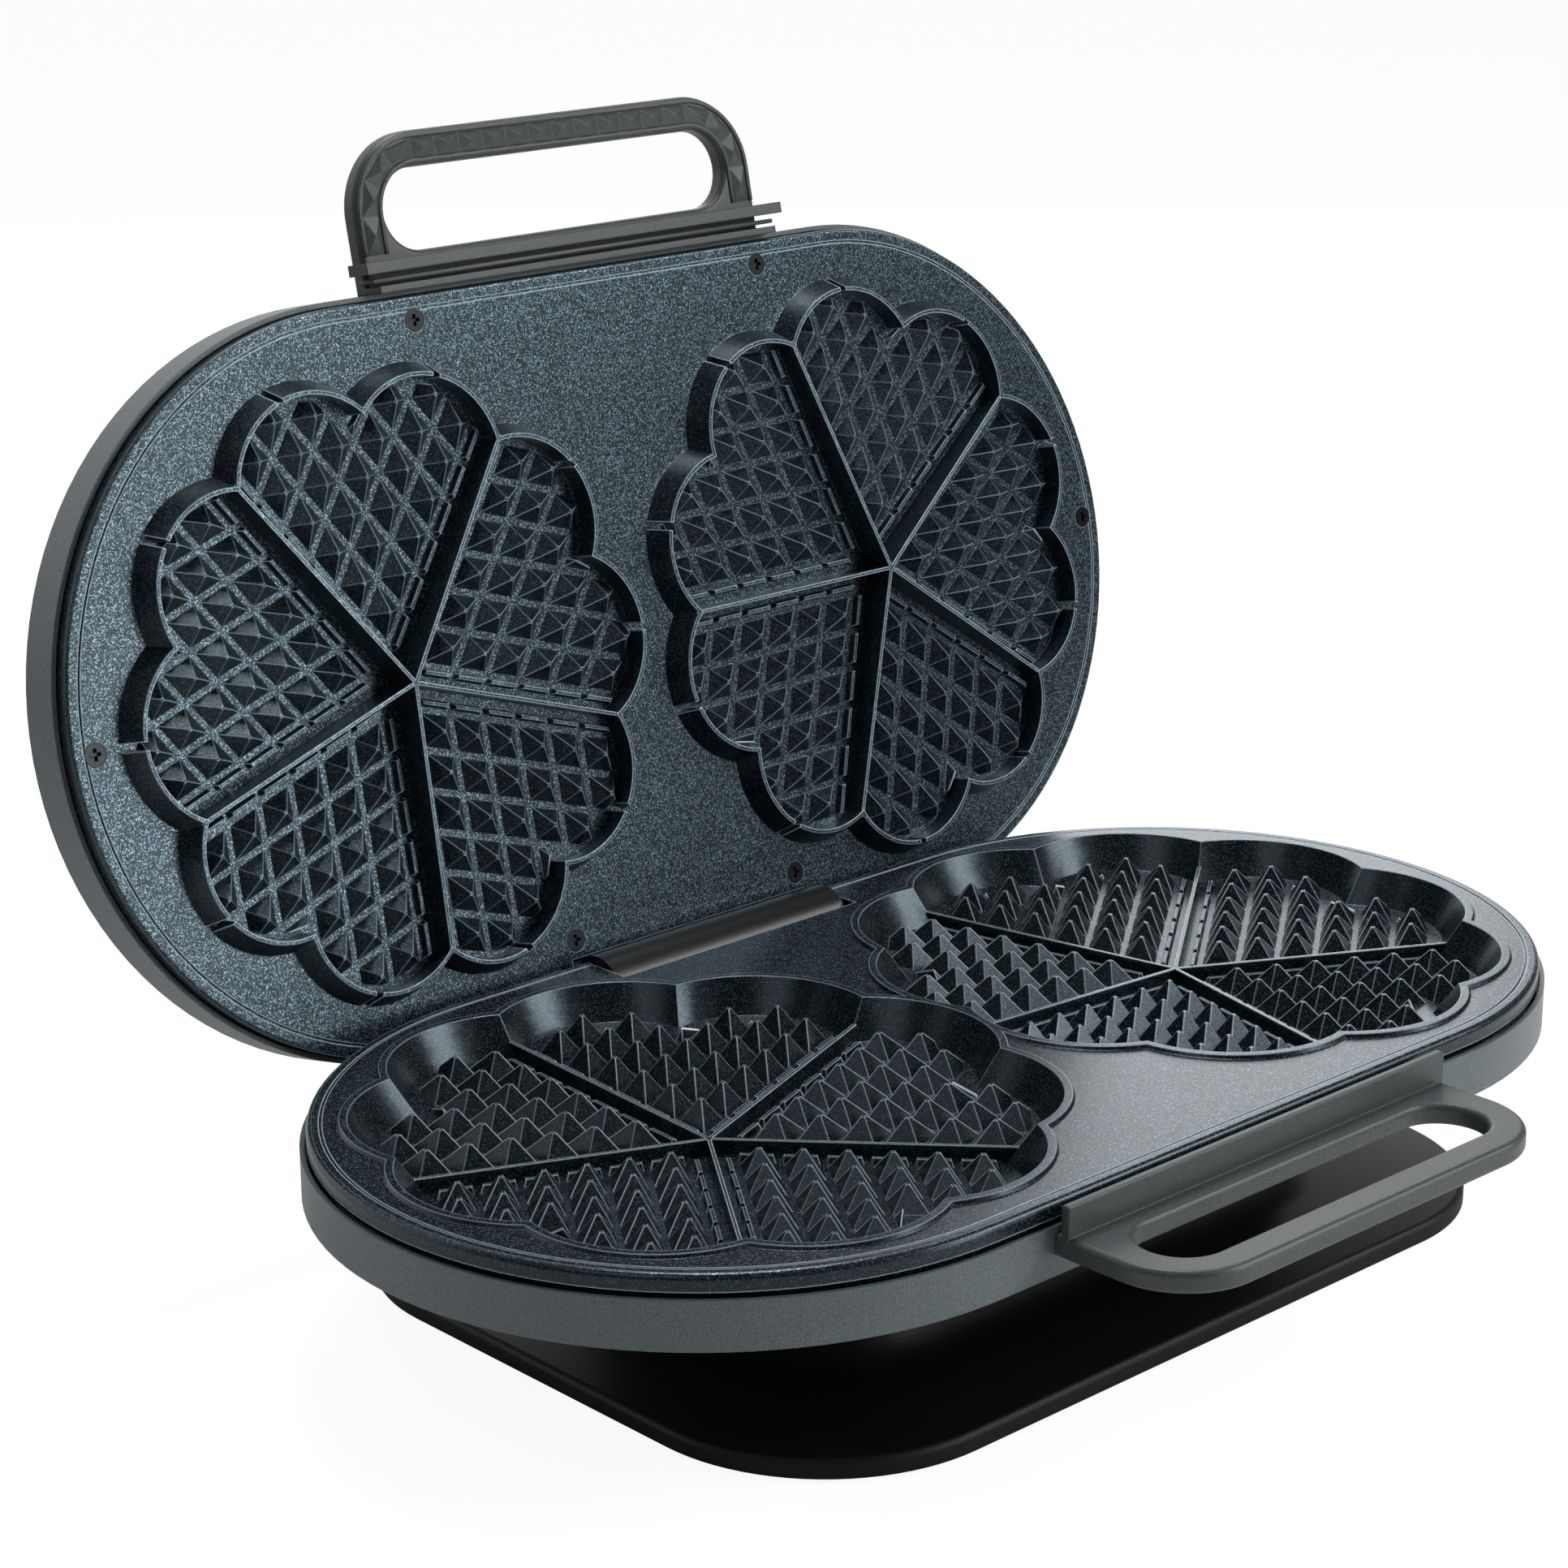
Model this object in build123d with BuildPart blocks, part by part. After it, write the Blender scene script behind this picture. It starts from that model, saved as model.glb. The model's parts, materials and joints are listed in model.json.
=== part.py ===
"""Double heart waffle maker: two cooking plates in a hinged lid and a lower casing on a foot.

Millimetres, +Z up, handles towards -Y, origin on the table under the middle of the whole.
The lid stands open on its stop. Its pieces are drawn on a plane of their own, the inner
face of its cooking plate, with local Y towards its handle and local Z out of that face.
"""

import os
from math import atan2, cos, degrees, hypot, radians, sin, sqrt, tan

from build123d import *

os.makedirs("parts", exist_ok=True)

# Plates in plan: two half circles joined by straight sides
flower_pitch = 210.0
plate_r = 119.0
rim_play = 0.4
rim_width = 1.6
plate_centre_y = -13.3

# Heights and hinge
closing_z = 76.9
mating_gap = 0.3
hinge_inset = 7.9
hinge_drop = 10.2
open_angle = 102.2

# Flower of five hearts: ten lobes, one cusp on each divider and on each heart's axis
hearts = 5
first_dividers = (36.0, 54.0)
lobe_centre_r = 65.6
cavity_arc_r = 41.4
cavity_draft = 30.0
floor_depth = 17.4
floor_slope = 3.4
divider_height = 5.0
divider_width = 1.2
divider_gap = 0.5
bead_width = 3.0
bead_height = 1.2
fence_centre_r = 68.1
fence_arc_r = 34.4
fence_height = 8.0
fence_draft = 24.0
fence_width = 5.0
fence_notch = 2.6
grid_sink = 0.3

# Waffle grid of each heart: studs between strips that run parallel to its two dividers
first_strip = 7.0
strip_pitch = 12.65
strip_width = 1.7
edge_strip = 1.8
stud_tip = 1.2
stud_keep = 1.0
upper_stud_height = 4.5
lower_stud_height = 7.5

# Castings and mouldings
plate_wall = 3.5
bowl_wall = 3.0
skirt_wall = 3.0
lower_skirt_depth = 8.2
upper_skirt_depth = 7.3
edge_height = 5.2
edge_overhang = 1.6
lower_edge_round = 2.0
upper_edge_round = 1.0
groove_inset = 3.9
groove_width = 0.8
groove_depth = 0.6
casing_wall = 2.5
rebate_depth = 4.0
lower_rim_drop = 8.1
lower_band_height = 15.2
keel_height = 10.1
keel_angle = 73.0
upper_rim_drop = 5.0
upper_band_height = 14.5
crown_height = 7.5
crown_angle = 60.0

# Hinge
barrel_r = 11.5
barrel_half = 51.5
notch_half = 52.3
notch_play = 4.1
lower_notch_lead = 14.1
upper_notch_lead = 9.8
ear_width = 7.7
ear_r = 5.0
ear_play = 1.5
pin_r = 3.0
pin_play = 0.05
pin_seat_play = 0.02
pin_depth = 7.0
neck_lead = 7.9
peg_r = 1.6
peg_length = 3.0
peg_orbit = 7.2
peg_play = 0.3

# Handles
handle_half = 84.4
handle_stand = 49.8
handle_corner_r = 26.0
handle_round = 2.0
handle_side = 11.9
handle_bar = 11.6
handle_root = 11.9
handle_thick = 7.0
upper_handle_drop = 8.0
lower_handle_z = 66.7
flange_half = 89.0
flange_stand = 6.3
flange_thick = 3.7
ledge_half = 85.0
ledge_thick = 2.2
lip_half = 84.4
lip_stand = 2.6
lip_thick = 2.8
lip_top_z = 76.5
handle_screw_xs = (-60.0, -20.0, 20.0, 60.0)

# Foot
tray_half = 164.5
tray_front = -109.0
tray_rear = 130.0
tray_corner_r = 62.0
tray_z = 1.5
tray_thick = 6.0
tray_round = 2.0
pedestal_half = 112.0
pedestal_front = -59.0
pedestal_rear = 70.0
pedestal_corner_r = 35.0
pedestal_wall = 3.0
pedestal_flare = 12.0
cover_thick = 2.0
cover_ledge = 3.0
cover_play = 0.3
foot_r = 10.0
foot_sink = 1.5
foot_x = 122.0
foot_front = -72.0
foot_rear = 93.0

# Fasteners
screw_r = 2.0
screw_play = 0.05
head_r = 3.8
head_height = 2.3
head_slot = 1.1
boss_r = 4.2
post_gap = 0.3
grip = 7.0
end_gap = 1.0
overcut = 1.0
rim_screw_inset = 7.8
rear_screw_inset = 21.8
front_screw_x = 73.9
rear_screw_x = 49.7
lower_screws = ((-140.0, 0.0), (140.0, 0.0), (-25.0, 78.0), (25.0, 78.0), (-25.0, -78.0), (25.0, -78.0))
base_screws_at = ((-16.0, -40.0), (16.0, -40.0), (-16.0, 50.0), (16.0, 50.0))
base_boss_height = 6.0

# Heating and control
element_ring_r = 55.0
element_tube_r = 3.25
element_gap = 0.3
element_sweep = 320.0
shield_r = 74.0
shield_thick = 0.8
shield_hole_play = 0.6
lower_shield_lift = 1.2
upper_shield_lift = 7.5
pad_r = 4.0
pad_orbit = 40.0
thermostat_half = 18.0
thermostat_height = 11.0
shaft_r = 3.0
shaft_play = 0.05
dial_r = 22.0
dial_height = 13.0
dial_gap = 0.4
dial_taper = 8.0
pointer_width = 2.0
pointer_depth = 1.0
lens_r = 4.0
lens_x = 14.0
lens_y = 40.0
lens_stand = 1.2
lens_depth = 4.0
terminal_size = (36.0, 18.0, 12.0)
terminal_y = 30.0
fuse_r = 2.5
fuse_length = 24.0
fuse_y = 62.0
gland_r = 8.0
gland_neck_r = 5.5
gland_z = 28.5
gland_stand = 6.0
gland_inner = 5.0
cable_r = 3.6

flower_x = flower_pitch / 2
housing_r = plate_r + rim_play + rim_width
lobe_step = 180 / hearts
divider_step = 360 / hearts
funnel_slope = tan(radians(floor_slope)) * cos(radians(lobe_step))
hinge_reach = housing_r - hinge_inset
hinge_y = plate_centre_y + hinge_reach
hinge_z = closing_z - hinge_drop
plate_top_z = closing_z - mating_gap - bead_height
slab_z = plate_top_z - plate_wall
floor_z = closing_z - floor_depth
bowl_z = floor_z - bowl_wall
lower_rim_z = closing_z - lower_rim_drop
lower_band_z = lower_rim_z - lower_band_height
keel_z = lower_band_z - keel_height
inner_keel_z = keel_z + casing_wall
keel_r = housing_r - keel_height * tan(radians(keel_angle))
upper_band_w = -upper_rim_drop - upper_band_height
back_w = upper_band_w - crown_height
inner_back_w = back_w + casing_wall
back_r = housing_r - crown_height * tan(radians(crown_angle))
inner_r = housing_r - casing_wall
tray_top_z = tray_z + tray_thick
handle_reach = housing_r + handle_stand
slot_width = handle_stand - handle_root - handle_bar
slot_centre = housing_r + handle_root + slot_width / 2
rim_screw_y = plate_r - rim_screw_inset
rear_screw_y = rear_screw_inset - plate_r
ends = (-1, 1)
upper_screws = [(end * (flower_x + rim_screw_y), 0) for end in ends]
upper_screws += [(end * front_screw_x, rim_screw_y) for end in ends]
upper_screws += [(end * rear_screw_x, rear_screw_y) for end in ends]
lower_turns = [turn - 90 for turn in first_dividers]
upper_turns = [90 - turn for turn in first_dividers]

open_turn = radians(open_angle)
lid_out = Vector(0, -sin(open_turn), -cos(open_turn))
hinge_plane = Plane(origin=(0, hinge_y, hinge_z), x_dir=(1, 0, 0), z_dir=lid_out)
lid_origin = hinge_plane.from_local_coords((0, hinge_reach, -hinge_drop))
lid_plane = Plane(origin=lid_origin, x_dir=(1, 0, 0), z_dir=lid_out)


def level(z):
    """Horizontal plane at height z, centred on the plates."""
    return Plane(origin=(0, plate_centre_y, z))


def polar(radius, angle):
    """Point at a radius and an angle in degrees."""
    return (radius * cos(radians(angle)), radius * sin(radians(angle)))


def cusp_r(centre_r, arc_r):
    """Radius at which two neighbouring lobes meet."""
    half = radians(lobe_step / 2)
    return centre_r * cos(half) + sqrt(arc_r**2 - (centre_r * sin(half)) ** 2)


def flower(centre_r, arc_r, turn):
    """Ten-lobed outline with a cusp at the angle turn."""
    cusp = cusp_r(centre_r, arc_r)
    with BuildSketch() as face:
        with BuildLine():
            for lobe in range(2 * hearts):
                start = turn + lobe * lobe_step
                middle = polar(centre_r + arc_r, start + lobe_step / 2)
                ThreePointArc(polar(cusp, start), middle, polar(cusp, start + lobe_step))
        make_face()
    return face.sketch


def stadium(radius):
    """Outline of the plates at an end radius."""
    with BuildSketch() as face:
        SlotCenterToCenter(flower_pitch, 2 * radius)
    return face.sketch


def slab(plane, height, radius):
    """Stadium block that stands on a plane."""
    with BuildPart() as body:
        with BuildSketch(plane):
            add(stadium(radius))
        extrude(amount=height)
    return body.part


def tapered_slab(plane, height, radius, far_radius):
    """Stadium block whose end radius changes over its height."""
    with BuildPart() as body:
        with BuildSketch(plane):
            add(stadium(radius))
        with BuildSketch(plane.offset(height)):
            add(stadium(far_radius))
        loft(ruled=True)
    return body.part


def box_between(plane, low, high):
    """Box between two corners given in a plane's own coordinates."""
    with BuildPart() as body:
        with BuildSketch(plane.offset(low[2])):
            with Locations(((low[0] + high[0]) / 2, (low[1] + high[1]) / 2)):
                Rectangle(high[0] - low[0], high[1] - low[1])
        extrude(amount=high[2] - low[2])
    return body.part


def posts(plane, points, radius, height):
    """Round posts or holes on a plane."""
    with BuildPart() as body:
        with BuildSketch(plane):
            with Locations(*points):
                Circle(radius)
        extrude(amount=height)
    return body.part


def flower_block(plane, height, centre_r, arc_r, turn, end, taper=0.0):
    """Flower-shaped block at one end, tapered over its height."""
    with BuildPart() as body:
        with BuildSketch(plane):
            with Locations((end * flower_x, 0)):
                add(flower(centre_r, arc_r, turn))
        with BuildSketch(plane.offset(height)):
            with Locations((end * flower_x, 0)):
                add(flower(centre_r, arc_r - abs(height) * tan(radians(taper)), turn))
        loft(ruled=True)
    return body.part


def blades(plane, turn, end, reach, height, rise):
    """Five dividers round a flower's centre, whose tops change by rise towards their ends."""
    with BuildPart() as body:
        centre = plane.from_local_coords((end * flower_x, 0, 0))
        for heart in range(hearts):
            across, along = polar(1, turn + heart * divider_step)
            forward = plane.from_local_coords((end * flower_x + across, along, 0)) - centre
            side = Plane(origin=centre, x_dir=forward, z_dir=forward.cross(plane.z_dir))
            with BuildSketch(side):
                with BuildLine():
                    Polyline((0, 0), (reach, 0), (reach, height + rise), (0, height), close=True)
                make_face()
            extrude(amount=divider_width / 2, both=True)
    return body.part


def cross_slots(plane, points):
    """Cross recesses of screw heads."""
    with BuildPart() as body:
        with BuildSketch(plane):
            with Locations(*points):
                Rectangle(head_r, head_slot)
                Rectangle(head_slot, head_r)
        extrude(amount=-head_height / 2)
    return body.part


def countersunk(plane, points, play=0.0):
    """Countersunk heads flush with a plane, or the seats for them when there is play."""
    slope = (head_r - screw_r) / head_height
    with BuildPart() as body:
        for across, along in points:
            with BuildSketch(plane):
                with Locations((across, along)):
                    Circle(head_r + play)
            with BuildSketch(plane.offset(-head_height)):
                with Locations((across, along)):
                    Circle(head_r + play - slope * head_height)
            loft(ruled=True)
    return body.part


def pan_screws(plane, points, length):
    """Pan-head screws that point along a plane's normal, with the heads behind it."""
    behind = Plane(plane.offset(-head_height).origin, plane.x_dir, -plane.z_dir)
    with BuildPart() as body:
        add(posts(plane, points, head_r, -head_height))
        head_tops = body.faces().sort_by(Axis(plane.origin, plane.z_dir))[:len(points)]
        fillet(head_tops.edges(), head_height / 3)
        add(posts(plane, points, screw_r, length))
        add(cross_slots(behind, mirrored(points)), mode=Mode.SUBTRACT)
    return body.part


def mirrored(points):
    """The same points as a plane that faces the other way gives them."""
    return [(across, -along) for across, along in points]


def rings(plane):
    """Open ring of heater tube centred on a plane, one under each flower."""
    with BuildPart() as body:
        for end in ends:
            centre = plane.from_local_coords((end * flower_x, 0, 0))
            with BuildSketch(Plane(origin=centre, x_dir=plane.x_dir, z_dir=-plane.y_dir)):
                with Locations((element_ring_r, 0)):
                    Circle(element_tube_r)
            revolve(axis=Axis(centre, plane.z_dir), revolution_arc=element_sweep)
    return body.part


def pad_points():
    """Three support points round each flower's centre."""
    points = []
    for end in ends:
        for third in range(3):
            across, along = polar(pad_orbit, 90 + 120 * third)
            points.append((end * flower_x + across, along))
    return points


def shields(plane, holes):
    """Two round heat shields with holes where the plate's posts pass."""
    with BuildPart() as body:
        with BuildSketch(plane):
            with Locations((-flower_x, 0), (flower_x, 0)):
                Circle(shield_r)
            if holes:
                with Locations(*holes):
                    Circle(boss_r + shield_hole_play, mode=Mode.SUBTRACT)
        extrude(amount=shield_thick)
    return body.part


def groove(plane):
    """Fine line that runs round a plate just inside its edge."""
    with BuildPart() as body:
        with BuildSketch(plane):
            add(stadium(plate_r - groove_inset))
            add(stadium(plate_r - groove_inset - groove_width), mode=Mode.SUBTRACT)
        extrude(amount=-groove_depth)
    return body.part


def handle_outline():
    """Handle with rounded far corners and a finger slot, its root on the casing's front."""
    with BuildSketch() as face:
        with Locations((0, housing_r + handle_stand / 2)):
            Rectangle(2 * handle_half, handle_stand)
        fillet(face.vertices().group_by(Axis.Y)[-1], handle_corner_r)
        with Locations((0, slot_centre)):
            SlotOverall(2 * (handle_half - handle_side), slot_width, mode=Mode.SUBTRACT)
    return face.sketch


def handle_loop(plane):
    """Flat handle that hangs from a plane, rounded except at its root."""
    with BuildPart() as body:
        with BuildSketch(plane):
            add(handle_outline())
        extrude(amount=-handle_thick)
        faces = body.faces().filter_by(plane)
        root = housing_r + handle_round
        rims = [edge for edge in faces.edges() if plane.to_local_coords(edge.center()).Y > root]
        fillet(rims, handle_round)
    return body.part


# Foot: tray and pedestal in one moulding, open below and closed by a cover
tray_middle = (tray_front + tray_rear) / 2
pedestal_middle = (pedestal_front + pedestal_rear) / 2
pedestal_length = pedestal_rear - pedestal_front


def pedestal_outline(inset):
    """Rounded outline of the pedestal, drawn in by an inset."""
    with BuildSketch() as face:
        with Locations((0, pedestal_middle)):
            RectangleRounded(
                2 * (pedestal_half - inset), pedestal_length - 2 * inset, pedestal_corner_r - inset
            )
    return face.sketch


foot_points = [(end * foot_x, along) for end in ends for along in (foot_front, foot_rear)]

with BuildPart() as base:
    with BuildSketch(level(tray_z)):
        with Locations((0, tray_middle)):
            RectangleRounded(2 * tray_half, tray_rear - tray_front, tray_corner_r)
    extrude(amount=tray_thick)
    fillet(base.edges().group_by(Axis.Z)[-1], tray_round)
    with BuildSketch(level(tray_top_z)):
        add(pedestal_outline(0))
    extrude(amount=keel_z - tray_top_z)
    tray_face = base.faces().filter_by(Axis.Z).group_by(Axis.Z)[1][0]
    fillet(tray_face.inner_wires()[0].edges(), pedestal_flare)
    with BuildSketch(level(tray_z)):
        add(pedestal_outline(pedestal_wall + cover_ledge))
    extrude(amount=keel_z - pedestal_wall - tray_z, mode=Mode.SUBTRACT)
    with BuildSketch(level(tray_z)):
        add(pedestal_outline(pedestal_wall))
    extrude(amount=cover_thick, mode=Mode.SUBTRACT)
    add(posts(level(tray_z), foot_points, foot_r, foot_sink), mode=Mode.SUBTRACT)
    add(posts(level(keel_z), base_screws_at, screw_r + screw_play, -pedestal_wall), mode=Mode.SUBTRACT)
    gland_plane = Plane(
        origin=(0, plate_centre_y + pedestal_rear, gland_z), x_dir=(1, 0, 0), z_dir=(0, 1, 0)
    )
    gland_hole = -pedestal_wall - cover_ledge
    add(posts(gland_plane, [(0, 0)], gland_neck_r, gland_hole), mode=Mode.SUBTRACT)
base.part.label = "base"

with BuildPart() as base_cover:
    with BuildSketch(level(tray_z)):
        add(pedestal_outline(pedestal_wall + cover_play))
    extrude(amount=cover_thick)
base_cover.part.label = "base_cover"

with BuildPart() as rubber_feet:
    add(posts(level(0), foot_points, foot_r, tray_z + foot_sink))
    fillet(rubber_feet.edges().group_by(Axis.Z)[0], foot_sink / 2)
rubber_feet.part.label = "rubber_feet"

with BuildPart() as base_screws:
    add(pan_screws(level(keel_z - pedestal_wall), base_screws_at, pedestal_wall + grip))
base_screws.part.label = "base_screws"

with BuildPart() as cord_gland:
    add(posts(gland_plane, [(0, 0)], gland_r, gland_stand))
    fillet(cord_gland.edges().group_by(Axis.Y)[-1], gland_stand / 3)
    add(posts(gland_plane, [(0, 0)], gland_neck_r, gland_hole - gland_inner))
    cable_hole = gland_hole - gland_inner - 2 * gland_stand
    add(posts(gland_plane.offset(gland_stand), [(0, 0)], cable_r, cable_hole), mode=Mode.SUBTRACT)
cord_gland.part.label = "cord_gland"

block_top_z = keel_z - pedestal_wall
with BuildPart() as terminal_block:
    half_x = terminal_size[0] / 2
    half_y = terminal_size[1] / 2
    add(box_between(level(block_top_z), (-half_x, terminal_y - half_y, -terminal_size[2]),
                    (half_x, terminal_y + half_y, 0)))
    wire_points = [(third * terminal_size[0] / 3, terminal_y) for third in (-1, 0, 1)]
    add(posts(level(block_top_z - terminal_size[2]), wire_points, screw_r, grip), mode=Mode.SUBTRACT)
terminal_block.part.label = "terminal_block"

# Lower casing
notch_front = hinge_reach - barrel_r - notch_play
beyond = 2 * housing_r
front_wall = Plane(origin=(0, plate_centre_y - inner_r, 0), x_dir=(1, 0, 0), z_dir=(0, -1, 0))
lower_handle_mid = lower_handle_z - handle_thick / 2
lower_handle_screws_at = [(across, lower_handle_mid) for across in handle_screw_xs]
lower_post_z = inner_keel_z + post_gap

with BuildPart() as lower_hollow:
    add(slab(level(lower_rim_z), -rebate_depth, plate_r + rim_play))
    add(slab(level(lower_rim_z), lower_band_z - lower_rim_z, inner_r))
    add(tapered_slab(level(lower_band_z), inner_keel_z - lower_band_z, inner_r, keel_r - casing_wall))
    add(box_between(level(0), (-notch_half - ear_width, notch_front - casing_wall, 0),
                    (notch_half + ear_width, beyond, closing_z)), mode=Mode.SUBTRACT)

with BuildPart() as lower_housing:
    add(slab(level(lower_rim_z), lower_band_z - lower_rim_z, housing_r))
    add(tapered_slab(level(lower_band_z), keel_z - lower_band_z, housing_r, keel_r))
    for end in ends:
        ear_face = Plane(origin=(end * notch_half, hinge_y, hinge_z), x_dir=(0, 1, 0), z_dir=(1, 0, 0))
        add(posts(ear_face, [(0, 0)], ear_r, end * ear_width))
    add(lower_hollow.part, mode=Mode.SUBTRACT)
    add(box_between(level(0), (-notch_half, notch_front, 0), (notch_half, beyond, closing_z)),
        mode=Mode.SUBTRACT)
    add(posts(level(inner_keel_z), pad_points(), pad_r, lower_shield_lift))
    add(posts(level(inner_keel_z), base_screws_at, boss_r, base_boss_height))
    add(posts(level(keel_z), base_screws_at, screw_r + screw_play, grip), mode=Mode.SUBTRACT)
    add(posts(level(keel_z), lower_screws, screw_r + screw_play, casing_wall), mode=Mode.SUBTRACT)
    add(posts(front_wall, lower_handle_screws_at, screw_r + screw_play, casing_wall), mode=Mode.SUBTRACT)
    for end in ends:
        ear_face = Plane(origin=(end * notch_half, hinge_y, hinge_z), x_dir=(0, 1, 0), z_dir=(1, 0, 0))
        add(posts(ear_face, [(0, 0)], pin_r + pin_seat_play, end * ear_width), mode=Mode.SUBTRACT)
        add(posts(ear_face, [(0, -peg_orbit)], peg_r, -end * peg_length))
lower_housing.part.label = "lower_housing"

with BuildPart() as hinge_pins:
    for end in ends:
        pin_face = Plane(
            origin=(end * (notch_half + ear_width), hinge_y, hinge_z), x_dir=(0, 1, 0), z_dir=(1, 0, 0)
        )
        add(posts(pin_face, [(0, 0)], pin_r, -end * (ear_width + notch_half - barrel_half + pin_depth)))
hinge_pins.part.label = "hinge_pins"

# Studs of the waffle grid


def inside_flower(point, centre_r, arc_r):
    """Whether a point of the heart along local X lies inside the flower's outline."""
    off_lobe = abs(atan2(abs(point[1]), point[0]) - radians(lobe_step / 2))
    across = centre_r * sin(off_lobe)
    if across > arc_r:
        return False
    return hypot(*point) < centre_r * cos(off_lobe) + sqrt(arc_r**2 - across**2)


def cell_point(first, second):
    """Point at given distances from the two dividers of the heart along local X."""
    along = (first + second) * cos(radians(lobe_step)) / sin(radians(divider_step))
    across = (second - first) * sin(radians(lobe_step)) / sin(radians(divider_step))
    return (along, across)


def heart_studs(centre_r, arc_r, height):
    """Pyramids of the heart along local X, cut off along its lobes."""
    middles = [first_strip + (row + 0.5) * strip_pitch for row in range(2 * hearts)]
    points = [cell_point(first, second) for first in middles for second in middles]
    kept = [point for point in points if inside_flower(point, centre_r, arc_r - edge_strip - stud_keep)]
    cusp = cusp_r(centre_r, arc_r - edge_strip)
    outer = centre_r + arc_r - edge_strip
    half = (strip_pitch - strip_width) / 2
    side_angle = degrees(atan2(half - stud_tip / 2, height + grid_sink))
    with BuildPart() as stud:
        with BuildSketch(Plane.XY.offset(-grid_sink)):
            corners = ((half, half), (-half, half), (-half, -half), (half, -half))
            Polygon(*[cell_point(first, second) for first, second in corners], align=None)
        extrude(amount=height + grid_sink, taper=side_angle)
    with BuildPart() as body:
        with Locations(*kept):
            add(stud.part)
        with BuildSketch(Plane.XY.offset(-overcut)):
            with BuildLine():
                Line((0, 0), polar(cusp, -lobe_step))
                ThreePointArc(polar(cusp, -lobe_step), polar(outer, -lobe_step / 2), (cusp, 0))
                ThreePointArc((cusp, 0), polar(outer, lobe_step / 2), polar(cusp, lobe_step))
                Line(polar(cusp, lobe_step), (0, 0))
            make_face()
        extrude(amount=height + 2 * overcut, mode=Mode.INTERSECT)
    return body.part


def heart_places(plane, turn, end, rise):
    """Places of a flower's five hearts on a plane, each tipped up by rise degrees."""
    centre = plane.from_local_coords((end * flower_x, 0, 0))
    places = []
    for heart in range(hearts):
        across, along = polar(1, turn + (heart + 0.5) * divider_step)
        forward = plane.from_local_coords((end * flower_x + across, along, 0)) - centre
        tipped = forward + plane.z_dir * tan(radians(rise))
        places.append(Plane(origin=centre, x_dir=tipped, z_dir=tipped.cross(plane.z_dir.cross(forward))))
    return places


# Lower cooking plate: deep flower bowls with funnel floors, dividers and a raised bead
funnel_tip_r = divider_width / 10
funnel_r = flower_x + cavity_arc_r
cavity_run = tan(radians(cavity_draft))
blade_arc_r = cavity_arc_r - (floor_depth - divider_height) * cavity_run
lower_reach = cusp_r(lobe_centre_r, blade_arc_r) + bowl_wall


def funnel(end, turn):
    """Space above a flower's floor: a shallow five-sided funnel with straight walls over it."""
    wide_z = floor_z + funnel_r * funnel_slope
    tip = [polar(funnel_tip_r, turn + heart * divider_step) for heart in range(hearts)]
    corners = [polar(funnel_r, turn + heart * divider_step) for heart in range(hearts)]
    with BuildPart() as space:
        for z, points in ((floor_z, tip), (wide_z, corners)):
            with BuildSketch(level(z)):
                with Locations((end * flower_x, 0)):
                    Polygon(*points, align=None)
        loft(ruled=True)
        with BuildSketch(level(wide_z)):
            with Locations((end * flower_x, 0)):
                Polygon(*corners, align=None)
        extrude(amount=closing_z - wide_z)
    return space.part


def cavity(end, turn):
    """Room for one waffle in the lower plate."""
    with BuildPart() as space:
        add(funnel(end, turn))
        walls = flower_block(level(closing_z), -floor_depth, lobe_centre_r, cavity_arc_r, turn, end,
                             cavity_draft)
        add(walls, mode=Mode.INTERSECT)
    return space.part


lobe_floor_depth = floor_depth - lobe_centre_r * tan(radians(floor_slope))
foot_arc_r = cavity_arc_r - lobe_floor_depth * cavity_run
lower_studs = heart_studs(lobe_centre_r, foot_arc_r, lower_stud_height)
lower_places = []
for end, turn in zip(ends, lower_turns):
    lower_places += heart_places(level(floor_z), turn, end, floor_slope)

with BuildPart() as lower_plate:
    add(slab(level(plate_top_z), -lower_skirt_depth, plate_r))
    fillet(lower_plate.edges().group_by(Axis.Z)[-1], lower_edge_round)
    add(slab(level(plate_top_z - edge_height), -lower_skirt_depth, plate_r), mode=Mode.SUBTRACT)
    add(slab(level(plate_top_z), -lower_skirt_depth, plate_r - edge_overhang))
    add(slab(level(slab_z), -lower_skirt_depth, plate_r - skirt_wall), mode=Mode.SUBTRACT)
    for end, turn in zip(ends, lower_turns):
        bowl_arc_r = cavity_arc_r + bowl_wall
        add(flower_block(level(plate_top_z), bowl_z - plate_top_z, lobe_centre_r, bowl_arc_r, turn, end,
                         cavity_draft))
        add(flower_block(level(plate_top_z), bead_height, lobe_centre_r, cavity_arc_r + bead_width, turn,
                         end, cavity_draft))
    add(posts(level(slab_z), lower_screws, boss_r, lower_post_z - slab_z))
    for end, turn in zip(ends, lower_turns):
        add(cavity(end, turn), mode=Mode.SUBTRACT)
        add(blades(level(floor_z - grid_sink), turn, end, lower_reach, divider_height + grid_sink,
                   lower_reach * funnel_slope))
    add(groove(level(plate_top_z)), mode=Mode.SUBTRACT)
    lower_notch_y = hinge_reach - lower_notch_lead
    add(box_between(level(0), (-notch_half, lower_notch_y, 0), (notch_half, beyond, closing_z)),
        mode=Mode.SUBTRACT)
    ear_room = notch_half + ear_width + ear_play
    add(box_between(level(0), (-ear_room, hinge_reach - ear_r - ear_play, 0), (ear_room, beyond, slab_z)),
        mode=Mode.SUBTRACT)
    add(posts(level(lower_post_z), lower_screws, screw_r + screw_play, grip), mode=Mode.SUBTRACT)
    with Locations(*lower_places):
        add(lower_studs, clean=False)
lower_plate.part.label = "lower_cooking_plate"

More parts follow.
